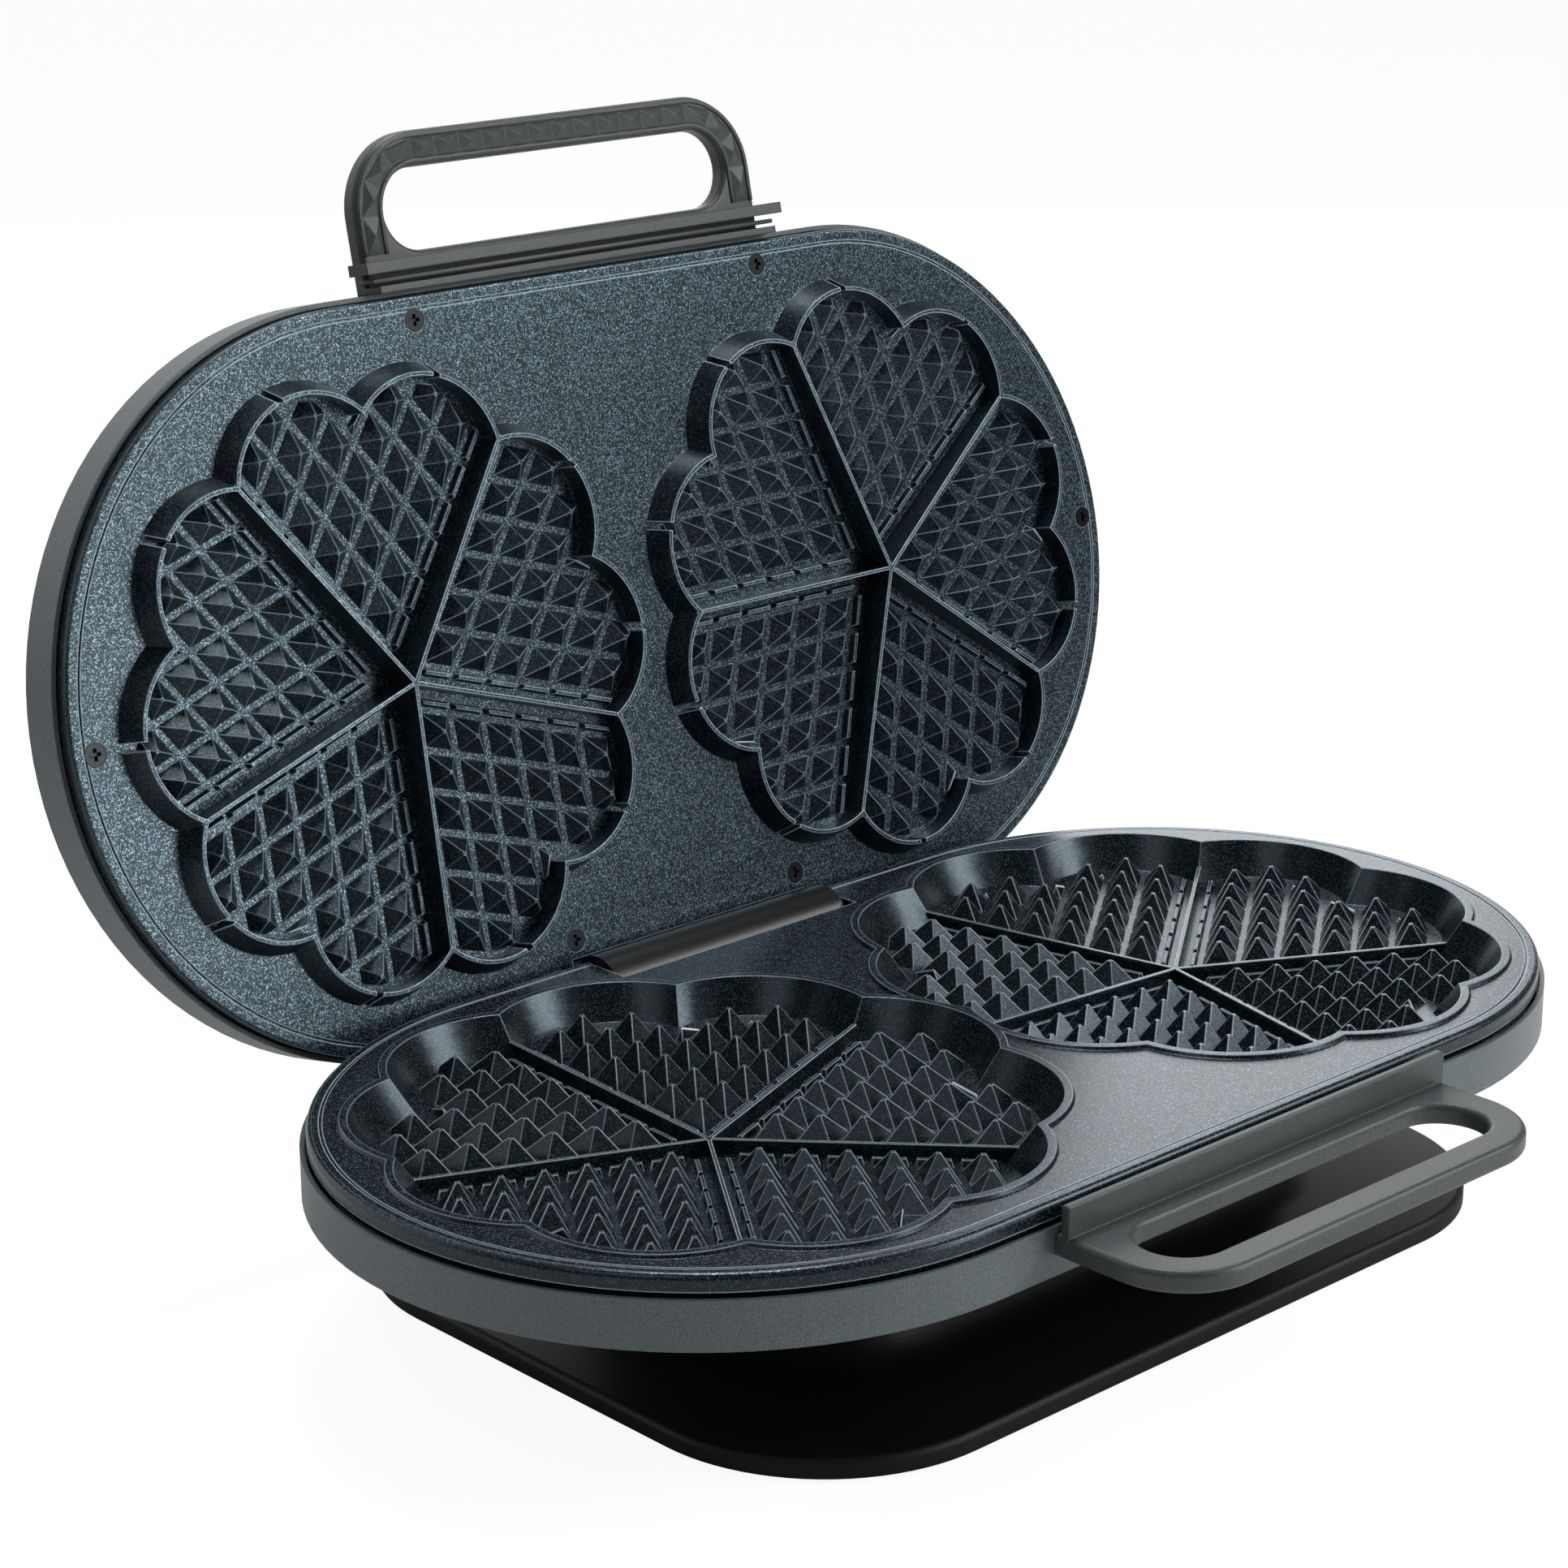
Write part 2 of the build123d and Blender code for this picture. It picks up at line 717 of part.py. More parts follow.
with BuildPart() as lower_plate_screws:
    add(pan_screws(level(keel_z), lower_screws, casing_wall + grip))
lower_plate_screws.part.label = "lower_plate_screws"

with BuildPart() as lower_element:
    add(rings(level(bowl_z - element_gap - element_tube_r)))
lower_element.part.label = "lower_heating_element"

with BuildPart() as lower_shield:
    add(shields(level(inner_keel_z + lower_shield_lift), lower_screws[:2]))
lower_shield.part.label = "lower_heat_shield"

with BuildPart() as thermal_fuse:
    fuse_start = Plane(
        origin=(0, plate_centre_y + fuse_y, slab_z - element_gap - fuse_r), x_dir=(1, 0, 0), z_dir=(0, 1, 0)
    )
    add(posts(fuse_start, [(0, 0)], fuse_r, -fuse_length))
thermal_fuse.part.label = "thermal_fuse"

# Lower handle with the upright lip that the lid's handle closes over
with BuildPart() as lower_handle:
    handle_top = Plane(origin=(0, plate_centre_y, lower_handle_z), x_dir=(-1, 0, 0), z_dir=(0, 0, 1))
    add(handle_loop(handle_top))
    add(box_between(handle_top, (-lip_half, housing_r + lip_stand, -handle_round),
                    (lip_half, housing_r + lip_stand + lip_thick, lip_top_z - lower_handle_z)))
    fillet(lower_handle.edges().group_by(Axis.Z)[-1], lip_thick / 4)
    handle_root = Plane(origin=(0, plate_centre_y - housing_r, 0), x_dir=(1, 0, 0), z_dir=(0, -1, 0))
    add(posts(handle_root, lower_handle_screws_at, screw_r + screw_play, grip), mode=Mode.SUBTRACT)
lower_handle.part.label = "lower_handle"

with BuildPart() as lower_handle_screws:
    add(pan_screws(front_wall, lower_handle_screws_at, casing_wall + grip - end_gap))
lower_handle_screws.part.label = "lower_handle_screws"

# Lid casing with the hinge barrel at its rear
lid_front_wall = Plane(
    origin=lid_plane.from_local_coords((0, inner_r, 0)), x_dir=(1, 0, 0), z_dir=lid_plane.y_dir
)
upper_handle_w = upper_handle_drop + handle_thick / 2
upper_root_points = [(across, upper_handle_w) for across in handle_screw_xs]
shaft_hole = shaft_r + 2 * shaft_play
neck_y = neck_lead - hinge_reach

with BuildPart() as upper_hollow:
    add(slab(lid_plane.offset(-upper_rim_drop), -rebate_depth, plate_r + rim_play))
    add(slab(lid_plane.offset(-upper_rim_drop), upper_band_w + upper_rim_drop, inner_r))
    add(tapered_slab(lid_plane.offset(upper_band_w), inner_back_w - upper_band_w, inner_r,
                     back_r - casing_wall))
    add(box_between(lid_plane, (-barrel_half, -beyond, back_w), (barrel_half, neck_y, 0)),
        mode=Mode.SUBTRACT)

with BuildPart() as upper_housing:
    add(slab(lid_plane.offset(-upper_rim_drop), upper_band_w + upper_rim_drop, housing_r))
    add(tapered_slab(lid_plane.offset(upper_band_w), back_w - upper_band_w, housing_r, back_r))
    add(upper_hollow.part, mode=Mode.SUBTRACT)
    add(box_between(lid_plane, (-barrel_half, -housing_r, inner_back_w), (barrel_half, neck_y, 0)))
    barrel_end = Plane(origin=(-barrel_half, hinge_y, hinge_z), x_dir=(0, 1, 0), z_dir=(1, 0, 0))
    add(posts(barrel_end, [(0, 0)], barrel_r, 2 * barrel_half))
    for end in ends:
        end_face = Plane(origin=(end * barrel_half, hinge_y, hinge_z), x_dir=(0, 1, 0), z_dir=(1, 0, 0))
        add(posts(end_face, [(0, 0)], pin_r + pin_play, -end * (pin_depth + end_gap)), mode=Mode.SUBTRACT)
        with BuildSketch(end_face):
            with BuildLine() as peg_path:
                CenterArc((0, 0), peg_orbit, 270 - open_angle, open_angle)
            SlotArc(peg_path.wires()[0], 2 * (peg_r + peg_play))
        extrude(amount=-end * (peg_length + peg_play), mode=Mode.SUBTRACT)
    add(posts(lid_plane.offset(inner_back_w), upper_screws, boss_r, -plate_wall - inner_back_w - post_gap))
    add(posts(lid_plane.offset(inner_back_w), pad_points(), pad_r, upper_shield_lift))
    add(posts(lid_plane.offset(-plate_wall), upper_screws, screw_r + screw_play, -grip), mode=Mode.SUBTRACT)
    add(posts(lid_front_wall, upper_root_points, screw_r + screw_play, casing_wall), mode=Mode.SUBTRACT)
    add(posts(lid_plane.offset(back_w), [(0, 0)], shaft_hole, casing_wall), mode=Mode.SUBTRACT)
    lens_points = [(end * lens_x, lens_y) for end in ends]
    add(posts(lid_plane.offset(back_w), lens_points, lens_r + screw_play, casing_wall), mode=Mode.SUBTRACT)
upper_housing.part.label = "upper_housing"

# Upper cooking plate: a fence of ten lobes, notched at each lobe, round every flower
fence_inner_arc_r = fence_arc_r - fence_width
fence_reach = cusp_r(fence_centre_r, fence_inner_arc_r) + fence_width / 2
upper_blade_height = floor_depth - divider_height - divider_gap


def fence(end, turn):
    """Raised rim of one flower."""
    with BuildPart() as body:
        add(flower_block(lid_plane.offset(-grid_sink), fence_height + grid_sink, fence_centre_r, fence_arc_r,
                         turn, end, fence_draft))
        add(flower_block(lid_plane.offset(-overcut), fence_height + 2 * overcut, fence_centre_r,
                         fence_inner_arc_r, turn, end), mode=Mode.SUBTRACT)
        for lobe in range(2 * hearts):
            angle = turn + (lobe + 0.5) * lobe_step
            across, along = polar(fence_centre_r + fence_arc_r, angle)
            with BuildSketch(lid_plane):
                with Locations((end * flower_x + across, along)):
                    Rectangle(3 * fence_width, fence_notch, rotation=angle)
            extrude(amount=fence_height + overcut, mode=Mode.SUBTRACT)
    return body.part


upper_studs = heart_studs(fence_centre_r, fence_inner_arc_r, upper_stud_height)
upper_places = []
for end, turn in zip(ends, upper_turns):
    upper_places += heart_places(lid_plane, turn, end, 0)

with BuildPart() as upper_plate:
    add(slab(lid_plane, -upper_skirt_depth, plate_r))
    front_edges = upper_plate.faces().filter_by(lid_plane).sort_by(Axis.Y)[0].edges()
    fillet(front_edges, upper_edge_round)
    add(slab(lid_plane.offset(-plate_wall), -upper_skirt_depth, plate_r - skirt_wall), mode=Mode.SUBTRACT)
    for end, turn in zip(ends, upper_turns):
        add(fence(end, turn))
        add(blades(lid_plane.offset(-grid_sink), turn, end, fence_reach, upper_blade_height + grid_sink,
                   -fence_reach * funnel_slope))
    add(groove(lid_plane), mode=Mode.SUBTRACT)
    add(box_between(lid_plane, (-notch_half, -beyond, -upper_skirt_depth - overcut),
                    (notch_half, upper_notch_lead - hinge_reach, overcut)), mode=Mode.SUBTRACT)
    add(countersunk(lid_plane, upper_screws, screw_play), mode=Mode.SUBTRACT)
    add(posts(lid_plane, upper_screws, screw_r + screw_play, -plate_wall), mode=Mode.SUBTRACT)
    with Locations(*upper_places):
        add(upper_studs, clean=False)
upper_plate.part.label = "upper_cooking_plate"

with BuildPart() as upper_plate_screws:
    add(countersunk(lid_plane, upper_screws))
    add(posts(lid_plane, upper_screws, screw_r, end_gap - plate_wall - grip))
    add(cross_slots(lid_plane, upper_screws), mode=Mode.SUBTRACT)
upper_plate_screws.part.label = "upper_plate_screws"

with BuildPart() as upper_element:
    add(rings(lid_plane.offset(-plate_wall - element_gap - element_tube_r)))
upper_element.part.label = "upper_heating_element"

with BuildPart() as upper_shield:
    add(shields(lid_plane.offset(inner_back_w + upper_shield_lift), []))
upper_shield.part.label = "upper_heat_shield"

# Lid handle: loop, sealing flange and ledge across its root
with BuildPart() as upper_handle:
    loop_face = lid_plane.offset(-upper_handle_drop)
    add(handle_loop(loop_face))
    flange_near = housing_r + flange_stand
    add(box_between(lid_plane, (-flange_half, flange_near, -upper_handle_drop - handle_round),
                    (flange_half, flange_near + flange_thick, 0)))
    add(box_between(lid_plane, (-ledge_half, housing_r, -upper_handle_drop - handle_round),
                    (ledge_half, housing_r + ledge_thick, 0)))
    lid_handle_root = Plane(
        origin=lid_plane.from_local_coords((0, housing_r, 0)), x_dir=(1, 0, 0), z_dir=lid_plane.y_dir
    )
    add(posts(lid_handle_root, upper_root_points, screw_r + screw_play, grip), mode=Mode.SUBTRACT)
upper_handle.part.label = "upper_handle"

with BuildPart() as upper_handle_screws:
    add(pan_screws(lid_front_wall, upper_root_points, casing_wall + grip - end_gap))
upper_handle_screws.part.label = "upper_handle_screws"

# Controls on the back of the lid
thermostat_front_w = inner_back_w + thermostat_height
with BuildPart() as thermostat:
    add(box_between(lid_plane, (-thermostat_half, -thermostat_half, inner_back_w),
                    (thermostat_half, thermostat_half, thermostat_front_w)))
    add(posts(lid_plane.offset(inner_back_w), [(0, 0)], shaft_r + shaft_play, grip), mode=Mode.SUBTRACT)
thermostat.part.label = "thermostat"

dial_face = Plane(origin=lid_plane.offset(back_w - dial_gap).origin, x_dir=(1, 0, 0), z_dir=-lid_out)
with BuildPart() as dial_shaft:
    shaft_length = dial_gap + casing_wall + grip - end_gap
    add(posts(dial_face, [(0, 0)], shaft_r, -shaft_length))
    add(posts(dial_face, [(0, 0)], shaft_r, dial_height / 2))
dial_shaft.part.label = "dial_shaft"

with BuildPart() as temperature_dial:
    with BuildSketch(dial_face):
        Circle(dial_r)
    extrude(amount=dial_height, taper=dial_taper)
    with BuildSketch(dial_face.offset(dial_height)):
        with Locations((0, dial_r / 2)):
            Rectangle(pointer_width, dial_r)
    extrude(amount=-pointer_depth, mode=Mode.SUBTRACT)
    add(posts(dial_face, [(0, 0)], shaft_r, dial_height / 2), mode=Mode.SUBTRACT)
temperature_dial.part.label = "temperature_dial"

with BuildPart() as indicator_lenses:
    add(posts(lid_plane.offset(back_w - lens_stand), lens_points, lens_r, lens_stand + lens_depth))
indicator_lenses.part.label = "indicator_lenses"

pieces = (
    base, base_cover, rubber_feet, base_screws, cord_gland, terminal_block, lower_housing, hinge_pins,
    lower_plate, lower_plate_screws, lower_element, lower_shield, thermal_fuse, lower_handle,
    lower_handle_screws, upper_housing, upper_plate, upper_plate_screws, upper_element, upper_shield,
    upper_handle, upper_handle_screws, thermostat, dial_shaft, temperature_dial, indicator_lenses,
)
for piece in pieces:
    export_step(piece.part, "parts/" + piece.part.label + ".step")
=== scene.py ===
"""Double heart waffle maker in its studio: coatings, mouldings and the waffle grids' small relief."""

import json
from math import cos, pi, radians, sin

import bmesh
import bpy
from mathutils import Matrix, Vector

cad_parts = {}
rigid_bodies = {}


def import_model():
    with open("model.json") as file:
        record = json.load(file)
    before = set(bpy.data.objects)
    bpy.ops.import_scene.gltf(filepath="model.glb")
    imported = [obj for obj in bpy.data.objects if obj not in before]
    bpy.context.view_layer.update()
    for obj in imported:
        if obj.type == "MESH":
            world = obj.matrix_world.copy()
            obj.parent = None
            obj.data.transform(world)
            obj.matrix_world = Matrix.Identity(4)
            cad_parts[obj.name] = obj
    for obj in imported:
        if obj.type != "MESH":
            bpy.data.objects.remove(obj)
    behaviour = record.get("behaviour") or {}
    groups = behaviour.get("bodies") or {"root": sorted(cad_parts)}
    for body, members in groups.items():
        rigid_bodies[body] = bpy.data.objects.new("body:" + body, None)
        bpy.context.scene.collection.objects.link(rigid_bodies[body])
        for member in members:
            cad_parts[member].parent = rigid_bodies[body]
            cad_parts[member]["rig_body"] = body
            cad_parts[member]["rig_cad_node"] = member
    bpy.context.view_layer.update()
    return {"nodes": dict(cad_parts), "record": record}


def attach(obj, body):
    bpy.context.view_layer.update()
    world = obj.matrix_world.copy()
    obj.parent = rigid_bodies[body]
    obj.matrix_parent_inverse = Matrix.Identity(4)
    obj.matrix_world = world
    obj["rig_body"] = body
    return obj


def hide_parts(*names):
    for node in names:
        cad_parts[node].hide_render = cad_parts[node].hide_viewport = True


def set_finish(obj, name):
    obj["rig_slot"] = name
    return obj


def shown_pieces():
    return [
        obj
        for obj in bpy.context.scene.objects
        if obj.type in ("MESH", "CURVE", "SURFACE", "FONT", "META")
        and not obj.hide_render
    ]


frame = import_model()
mm = 0.001

# Plates, and the lid as it stands open
flower_x = 105 * mm
plate_y = -13.3 * mm
closing_z = 76.9 * mm
hinge_reach = 113.1 * mm
hinge_drop = 10.2 * mm
open_turn = radians(102.2)

# Flowers: hearts of each, the angle of its first divider in degrees, and the lower cavities' floor
hearts = 5
first_dividers = (36, 54)
ends = (-1, 1)
floor_z = 59.5 * mm
floor_slope = radians(3.4)
fence_centre_r = 68.1 * mm
fence_inner_arc = 29.4 * mm
cavity_centre_r = 65.6 * mm
cavity_foot_arc = 33.6 * mm

# Waffle grid: cells between strips that run parallel to the two dividers of a heart
first_strip = 7.0 * mm
strip_pitch = 12.65 * mm
strip_width = 1.7 * mm
edge_strip = 1.8 * mm
grid_sink = 0.3 * mm
stud_tip = 1.2 * mm
stud_keep = 1.0 * mm
upper_stud_height = 4.5 * mm
lower_stud_height = 7.5 * mm

# How far the lower plate's cut pyramids stop short of the rim, clear of the closed lid's fence
fence_play = 3.5 * mm

# Low bars along the dividers: distances from the divider, height, and how far their sides lean in
bar_near = 3.5 * mm
bar_far = 6.1 * mm
bar_height = 2.2 * mm
bar_slant = 0.7 * mm

# Grip of the lid's handle: pyramids between two rims, in a band round its loop
grip_drop = 8.0 * mm
grip_corner_x = 58.6 * mm
grip_corner_v = 145.1 * mm
grip_outer_r = 23.2 * mm
grip_inner_r = 16.6 * mm
grip_foot_v = 133.0 * mm
grip_cells = 12
grip_corner_cells = 3
grip_facet = 1.5 * mm
grip_lift = 0.05 * mm
rim_rise = 0.7 * mm
rim_width = 1.5 * mm
rim_round = 0.4 * mm
rim_corner_cells = 12

# Strip between the flange and the ledge across the root of that handle
strip_half = 86.0 * mm
strip_v = 125.0 * mm
strip_thick = 1.5 * mm
strip_root = -10.0 * mm
strip_top = -2.0 * mm
strip_round = 0.3 * mm

# Barrel of the lid's casing, which has the hinge pins in it
barrel_half = 51.7 * mm
barrel_reach = 17.0 * mm

# Meshes: points closer than the gap are one, and edges below a limit in degrees are shaded smooth
merge_gap = 0.002 * mm
cut_gap = 0.0001 * mm
curve_limit = 30
facet_limit = 5
rim_limit = 50
brim_turn = 60

# Camera, solved from the photograph's perspective
camera_place = Vector((-0.7972, -0.7861, 0.5048))
camera_turn = radians(-43.11)
camera_drop = radians(17.63)
camera_roll = radians(-0.23)
camera_lens = 86.45
camera_sensor = 36.0
camera_far = 50

hinge_y = plate_y + hinge_reach
hinge_z = closing_z - hinge_drop
lid_up = Vector((0, -cos(open_turn), sin(open_turn)))
lid_out = Vector((0, -sin(open_turn), -cos(open_turn)))
lid_centre = Vector((0, hinge_y, hinge_z)) + hinge_reach * lid_up - hinge_drop * lid_out
lid_axes = Matrix((Vector((1, 0, 0)), lid_up, lid_out)).transposed()
lid_frame = Matrix.Translation(lid_centre) @ lid_axes.to_4x4()
lower_out = Vector((0, 0, 1))
lower_frame = Matrix.Translation((0, plate_y, 0))
half_heart = radians(180 / hearts)
upper_rim_arc = fence_inner_arc - edge_strip
lower_rim_arc = cavity_foot_arc - edge_strip

node_slots = {entry["node"]: entry["material_slot"] for entry in frame["record"]["subparts"]}
lid = frame["nodes"]["upper_cooking_plate"]["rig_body"]
lower = frame["nodes"]["lower_cooking_plate"]["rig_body"]


# Meshes


def new_piece(name, work, body, slot, replaced=(), limit=curve_limit):
    """Makes an object of a bmesh, shades it smooth up to an angle and lets it ride on a body."""
    for face in work.faces:
        face.smooth = True
    for edge in work.edges:
        edge.smooth = edge.calc_face_angle(0) < radians(limit)
    mesh = bpy.data.meshes.new(name)
    work.to_mesh(mesh)
    work.free()
    if "custom_normal" in mesh.attributes:
        mesh.attributes.remove(mesh.attributes["custom_normal"])
    piece = bpy.data.objects.new(name, mesh)
    bpy.context.scene.collection.objects.link(piece)
    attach(piece, body)
    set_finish(piece, slot)
    if replaced:
        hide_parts(*replaced)
    return piece


def smoothed(node):
    """A merged copy of a CAD node whose curved faces are shaded smooth, which stands for the node."""
    source = frame["nodes"][node]
    work = bmesh.new()
    work.from_mesh(source.data)
    bmesh.ops.remove_doubles(work, verts=work.verts, dist=merge_gap)
    piece = new_piece(node + "_smooth", work, source["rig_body"], node_slots[node], (node,))
    even = piece.modifiers.new("even", "WEIGHTED_NORMAL")
    even.keep_sharp = True


def points_of(made):
    """The points among the parts that a bmesh operator returns."""
    return [item for item in made if isinstance(item, bmesh.types.BMVert)]


def edges_of(made):
    """The edges among the parts that a bmesh operator returns."""
    return [item for item in made if isinstance(item, bmesh.types.BMEdge)]


def round_off(work, edges, radius):
    """Rounds edges off in two steps."""
    bmesh.ops.bevel(
        work, geom=edges, offset=radius, offset_type="OFFSET", segments=2, profile=0.5,
        affect="EDGES", material=-1, clamp_overlap=True,
    )


def cell_point(first, second):
    """Point of the heart along local X at given distances from its two dividers."""
    along = (first + second) * cos(half_heart) / sin(2 * half_heart)
    across = (second - first) * sin(half_heart) / sin(2 * half_heart)
    return Vector((along, across, 0))


def lobe_centres(centre_r):
    """Centres of the two lobes of the heart along local X."""
    centre = Vector((centre_r, 0, 0))
    return [Matrix.Rotation(side * half_heart / 2, 3, "Z") @ centre for side in (-1, 1)]


def add_block(work, first_span, second_span, slant, height):
    """A pyramid stump or bar over spans of the distances from the two dividers."""
    cube = bmesh.ops.create_cube(work, size=1)
    for vert in cube["verts"]:
        inset, level = (slant, height) if vert.co.z > 0 else (0, -grid_sink)
        first = first_span[0] + inset if vert.co.x < 0 else first_span[1] - inset
        second = second_span[0] + inset if vert.co.y < 0 else second_span[1] - inset
        vert.co = cell_point(first, second) + Vector((0, 0, level))
    return cube["verts"]


def divider_bars(centre_r, arc_r):
    """Two rows of low bars along the dividers of the heart along local X."""
    work = bmesh.new()
    across = (bar_near, bar_far)
    for row in range(2 * hearts):
        start = first_strip + row * strip_pitch + strip_width / 2
        along = (start, start + strip_pitch - strip_width)
        for first_span, second_span in ((across, along), (along, across)):
            middle = cell_point(sum(first_span) / 2, sum(second_span) / 2)
            nearest = min((middle - lobe).length for lobe in lobe_centres(centre_r))
            if middle.length < centre_r or nearest < arc_r:
                add_block(work, first_span, second_span, bar_slant, bar_height)
    bmesh.ops.recalc_face_normals(work, faces=work.faces)
    return work


def cut_studs(centre_r, arc_r, trim, height):
    """Pyramids at the rim of the heart along local X, cut off along its lobes or short of them."""
    work = bmesh.new()
    half = (strip_pitch - strip_width) / 2
    slant = half - stud_tip / 2
    middles = [first_strip + (row + 0.5) * strip_pitch for row in range(2 * hearts)]
    for first in middles:
        for second in middles:
            middle = cell_point(first, second)
            lobe = min(lobe_centres(centre_r), key=lambda centre: (middle - centre).length)
            away = (middle - lobe).normalized()
            past = (middle - lobe).length - arc_r
            if middle.length < centre_r or not -stud_keep < past < half - stud_keep:
                continue
            spans = (first - half, first + half), (second - half, second + half)
            stud = add_block(work, *spans, slant, height)
            faces = {face for vert in stud for face in vert.link_faces}
            edges = {edge for face in faces for edge in face.edges}
            cut = bmesh.ops.bisect_plane(
                work, geom=list(stud) + list(edges) + list(faces), dist=cut_gap, clear_outer=True,
                plane_co=lobe + away * (arc_r - trim), plane_no=away,
            )
            bmesh.ops.edgeloop_fill(work, edges=edges_of(cut["geom_cut"]))
    bmesh.ops.recalc_face_normals(work, faces=work.faces)
    return work


def copied(work, places):
    """One bmesh with a copy of the given one at every place."""
    mesh = bpy.data.meshes.new("copied")
    work.to_mesh(mesh)
    work.free()
    group = bmesh.new()
    for place in places:
        mesh.transform(place)
        group.from_mesh(mesh)
        mesh.transform(place.inverted())
    bpy.data.meshes.remove(mesh)
    return group


def heart_places(base, sign, height, rise):
    """Places of the ten hearts on a plate, each tipped up by rise."""
    places = []
    for end, divider in zip(ends, first_dividers):
        for heart in range(hearts):
            turn = sign * radians(90 - divider) + (2 * heart + 1) * half_heart
            place = base @ Matrix.Translation((end * flower_x, 0, height))
            place = place @ Matrix.Rotation(turn, 4, "Z")
            places.append(place @ Matrix.Rotation(-rise, 4, "Y"))
    return places


def grip_band(work, outer, inner, cells, corner_cells):
    """Faces round the handle's loop between two radii about its corners, from foot to foot."""
    start = [work.verts.new((-grip_corner_x - radius, grip_foot_v, 0)) for radius in (outer, inner)]
    leading = [work.edges.new(start)]

    def run(vector, steps=1):
        """Pulls the leading edge along in equal steps."""
        for step in range(steps):
            made = bmesh.ops.extrude_edge_only(work, edges=leading)["geom"]
            moved = points_of(made)
            bmesh.ops.translate(work, verts=moved, vec=vector / steps)
            leading[:] = [edge for edge in moved[0].link_edges if edge.other_vert(moved[0]) in moved]

    def corner(centre):
        """Turns the leading edge through a quarter turn."""
        made = bmesh.ops.spin(
            work, geom=leading + list(leading[0].verts), cent=centre, axis=(0, 0, -1), angle=pi / 2,
            steps=corner_cells, use_merge=False, use_duplicate=False,
        )
        leading[:] = edges_of(made["geom_last"])

    run(Vector((0, grip_corner_v - grip_foot_v, 0)))
    corner((-grip_corner_x, grip_corner_v, 0))
    run(Vector((2 * grip_corner_x, 0, 0)), cells)
    corner((grip_corner_x, grip_corner_v, 0))
    run(Vector((0, grip_foot_v - grip_corner_v, 0)))


def grip_facets():
    """Row of pyramids on the grip of the lid's handle."""
    work = bmesh.new()
    grip_band(work, grip_outer_r, grip_inner_r, grip_cells, grip_corner_cells)
    bmesh.ops.recalc_face_normals(work, faces=work.faces)
    if next(iter(work.faces)).normal.z < 0:
        bmesh.ops.reverse_faces(work, faces=work.faces)
    bmesh.ops.poke(work, faces=work.faces, offset=grip_facet, center_mode="MEAN")
    bmesh.ops.translate(work, verts=work.verts, vec=(0, 0, grip_lift - grip_drop))
    bmesh.ops.transform(work, matrix=lid_frame, verts=work.verts)
    return work


def grip_rims():
    """Raised smooth rims on both sides of the pyramids."""
    work = bmesh.new()
    grip_band(work, grip_outer_r + rim_width, grip_outer_r, 1, rim_corner_cells)
    grip_band(work, grip_inner_r, grip_inner_r - rim_width, 1, rim_corner_cells)
    bmesh.ops.recalc_face_normals(work, faces=work.faces)
    bmesh.ops.translate(work, verts=work.verts, vec=(0, 0, -grip_drop - rim_rise))
    tops = points_of(bmesh.ops.extrude_face_region(work, geom=list(work.faces))["geom"])
    bmesh.ops.translate(work, verts=tops, vec=(0, 0, 2 * rim_rise))
    bmesh.ops.recalc_face_normals(work, faces=work.faces)
    top_edges = {
        edge for vert in tops for edge in vert.link_edges if all(point in tops for point in edge.verts)
    }
    brims = [edge for edge in top_edges if edge.calc_face_angle(0) > radians(brim_turn)]
    round_off(work, brims, rim_round)
    bmesh.ops.transform(work, matrix=lid_frame, verts=work.verts)
    return work


def seal_strip():
    """Thin strip between the flange and the ledge of the lid's handle."""
    work = bmesh.new()
    size = (2 * strip_half, strip_thick, strip_top - strip_root)
    centre = (0, strip_v, (strip_top + strip_root) / 2)
    bmesh.ops.create_cube(work, size=1, matrix=Matrix.LocRotScale(centre, None, size))
    round_off(work, list(work.edges), strip_round)
    bmesh.ops.transform(work, matrix=lid_frame, verts=work.verts)
    return work


# Materials

edge_samples = 4

# Nonstick film: rounded edges, blue shine, painted highlight lines along ridges, painted shade on
# slopes with fewer bright flakes
film_edge = 0.6 * mm
film_tint = "#c2dae6"
ridge_highlight_width = 0.5 * mm
ridge_highlight_fade = (0.9, 0.66)
ridge_highlight_colour = "#e3eaee"
slope_shade_fade = (0.75, 0.95)
slope_shade_share = 0.3
fleck_stop = 0.7

# Mouldings and metals: rounded edges, the grain's two tones and depth, streaks in the shine
mould_edge = 0.4 * mm
mould_stops = (0.38, 0.68)
mould_depth = 0.05 * mm
metal_edge = 0.3 * mm
metal_streak = mm / 0.9
metal_spread = 0.2


def linear(code):
    """Linear colour of an sRGB hex value."""
    channels = [int(code[start:start + 2], 16) / 255 for start in (1, 3, 5)]
    return [c / 12.92 if c <= 0.04045 else ((c + 0.055) / 1.055) ** 2.4 for c in channels] + [1]


def add_node(tree, kind, settings=None, links=None):
    """Adds a node, sets its options (lowercase keys) and inputs, and links it to other nodes."""
    node = tree.nodes.new(kind)
    for key, value in (settings or {}).items():
        if str(key).islower():
            setattr(node, key, value)
        else:
            node.inputs[key].default_value = value
    for key, (source, output) in (links or {}).items():
        tree.links.new(source.outputs[output], node.inputs[key])
    return node


def new_material(name, roughness, edge_round):
    """A material with its surface, its object coordinates, and normals that round its edges off."""
    material = bpy.data.materials.new(name)
    material.use_nodes = True
    tree = material.node_tree
    surface = tree.nodes["Principled BSDF"]
    surface.inputs["Roughness"].default_value = roughness
    coords = tree.nodes.new("ShaderNodeTexCoord")
    edges = add_node(tree, "ShaderNodeBevel", {"samples": edge_samples, "Radius": edge_round})
    return material, tree, surface, coords, edges


